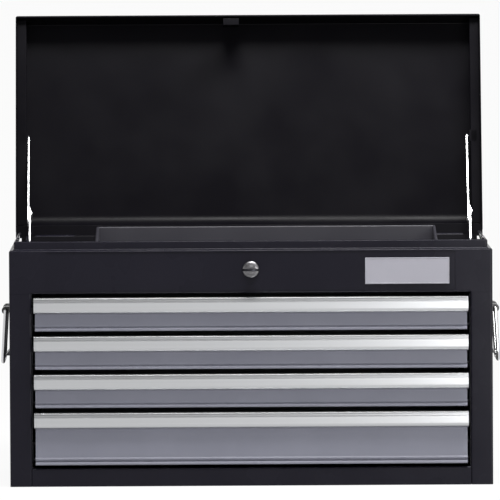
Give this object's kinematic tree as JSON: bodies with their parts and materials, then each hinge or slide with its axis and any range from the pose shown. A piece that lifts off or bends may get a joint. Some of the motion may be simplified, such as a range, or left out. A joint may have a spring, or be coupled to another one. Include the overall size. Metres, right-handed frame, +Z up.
{
  "type": "tool chest",
  "caption": "Steel top chest with stacked drawers on slides, a full-width pull trim on each, a hinged lid on folding stays, a loose till tray, side drop handles and a cam lock.",
  "frame": {"origin": "centre of the base on the surface the chest stands on", "axes": "+X to the chest's right as seen from the front, front towards -Y, +Z up; lid stored open"},
  "size_m": [0.6888, 0.4763, 0.637],
  "materials": {
    "cabinet_paint": "semi-gloss",
    "lid_paint": "semi-gloss",
    "inner_paint": "satin",
    "drawer_paint": "metallic semi-gloss",
    "tray_paint": "satin",
    "trim": "satin anodised",
    "zinc": "bright zinc plated",
    "chrome": "polished",
    "label": "satin"
  },
  "bodies": {
    "cabinet": {"side_left": "cabinet_paint", "side_right": "cabinet_paint", "stile_left": "cabinet_paint", "stile_right": "cabinet_paint", "header": "cabinet_paint", "bottom_rail": "cabinet_paint", "base": "inner_paint", "back": "inner_paint", "till_floor": "inner_paint", "posts_left": "inner_paint", "posts_right": "inner_paint", "slides_1": "zinc", "slides_2": "zinc", "slides_3": "zinc", "slides_4": "zinc", "hinge_leaf_body": "cabinet_paint", "hinge_pin": "cabinet_paint", "lock_housing": "chrome", "label_plate": "label", "handle_plate_left": "inner_paint", "handle_plate_right": "inner_paint", "stay_anchor_left": "cabinet_paint", "stay_anchor_right": "cabinet_paint"},
    "lid": {"lid_shell": "lid_paint", "lid_end_left": "lid_paint", "lid_end_right": "lid_paint", "lid_catch": "lid_paint", "hinge_leaf_lid": "lid_paint", "stay_ear_left": "lid_paint", "stay_ear_right": "lid_paint"},
    "stay_upper_left": {"stay_upper_left": "zinc"},
    "stay_lower_left": {"stay_lower_left": "zinc"},
    "stay_upper_right": {"stay_upper_right": "zinc"},
    "stay_lower_right": {"stay_lower_right": "zinc"},
    "lock": {"lock_plug": "chrome", "lock_cam": "zinc", "lock_key": "zinc"},
    "bail_left": {"bail_left": "chrome"},
    "bail_right": {"bail_right": "chrome"},
    "tray": {"tray": "tray_paint"},
    "drawer_1": {"drawer_box_1": "inner_paint", "drawer_face_1": "drawer_paint", "drawer_trim_1": "trim", "drawer_runners_1": "inner_paint"},
    "drawer_2": {"drawer_box_2": "inner_paint", "drawer_face_2": "drawer_paint", "drawer_trim_2": "trim", "drawer_runners_2": "inner_paint"},
    "drawer_3": {"drawer_box_3": "inner_paint", "drawer_face_3": "drawer_paint", "drawer_trim_3": "trim", "drawer_runners_3": "inner_paint"},
    "drawer_4": {"drawer_box_4": "inner_paint", "drawer_face_4": "drawer_paint", "drawer_trim_4": "trim", "drawer_runners_4": "inner_paint"}
  },
  "joints": [
    {"name": "lid_hinge", "type": "hinge", "parent": "cabinet", "child": "lid", "pos_m": [0, 0.1615, 0.327], "axis": [-1, 0, 0], "range_deg": [-105, 0]},
    {"name": "stay_upper_pivot_left", "type": "hinge", "parent": "lid", "child": "stay_upper_left", "pos_m": [-0.3099, 0.21957, 0.46259], "axis": [-1, 0, 0], "range_deg": [0, 10.1]},
    {"name": "stay_lower_pivot_left", "type": "hinge", "parent": "cabinet", "child": "stay_lower_left", "pos_m": [-0.3078, 0.135, 0.322], "axis": [-1, 0, 0], "range_deg": [-209.6, 0]},
    {"name": "stay_upper_pivot_right", "type": "hinge", "parent": "lid", "child": "stay_upper_right", "pos_m": [0.3078, 0.21957, 0.46259], "axis": [-1, 0, 0], "range_deg": [0, 10.1]},
    {"name": "stay_lower_pivot_right", "type": "hinge", "parent": "cabinet", "child": "stay_lower_right", "pos_m": [0.3099, 0.135, 0.322], "axis": [-1, 0, 0], "range_deg": [-209.6, 0]},
    {"name": "lock_turn", "type": "hinge", "parent": "cabinet", "child": "lock", "pos_m": [0, -0.1425, 0.296], "axis": [0, -1, 0], "range_deg": [0, 90]},
    {"name": "bail_left_swing", "type": "hinge", "parent": "cabinet", "child": "bail_left", "pos_m": [-0.3376, 0, 0.2355], "axis": [0, 1, 0], "range_deg": [0, 92]},
    {"name": "bail_right_swing", "type": "hinge", "parent": "cabinet", "child": "bail_right", "pos_m": [0.3376, 0, 0.2355], "axis": [0, -1, 0], "range_deg": [0, 92]},
    {"name": "tray_lift", "type": "slide", "parent": "cabinet", "child": "tray", "axis": [0, 0, 1], "range_m": [0, 0.16]},
    {"name": "drawer_1_slide", "type": "slide", "parent": "cabinet", "child": "drawer_1", "axis": [0, -1, 0], "range_m": [0, 0.2]},
    {"name": "drawer_2_slide", "type": "slide", "parent": "cabinet", "child": "drawer_2", "axis": [0, -1, 0], "range_m": [0, 0.2]},
    {"name": "drawer_3_slide", "type": "slide", "parent": "cabinet", "child": "drawer_3", "axis": [0, -1, 0], "range_m": [0, 0.2]},
    {"name": "drawer_4_slide", "type": "slide", "parent": "cabinet", "child": "drawer_4", "axis": [0, -1, 0], "range_m": [0, 0.2]}
  ],
  "couplings": [
    {"joint": "stay_upper_pivot_left", "follows": "lid_hinge", "ratio": -0.0954},
    {"joint": "stay_lower_pivot_left", "follows": "lid_hinge", "ratio": 1.9954},
    {"joint": "stay_upper_pivot_right", "follows": "lid_hinge", "ratio": -0.0954},
    {"joint": "stay_lower_pivot_right", "follows": "lid_hinge", "ratio": 1.9954}
  ]
}
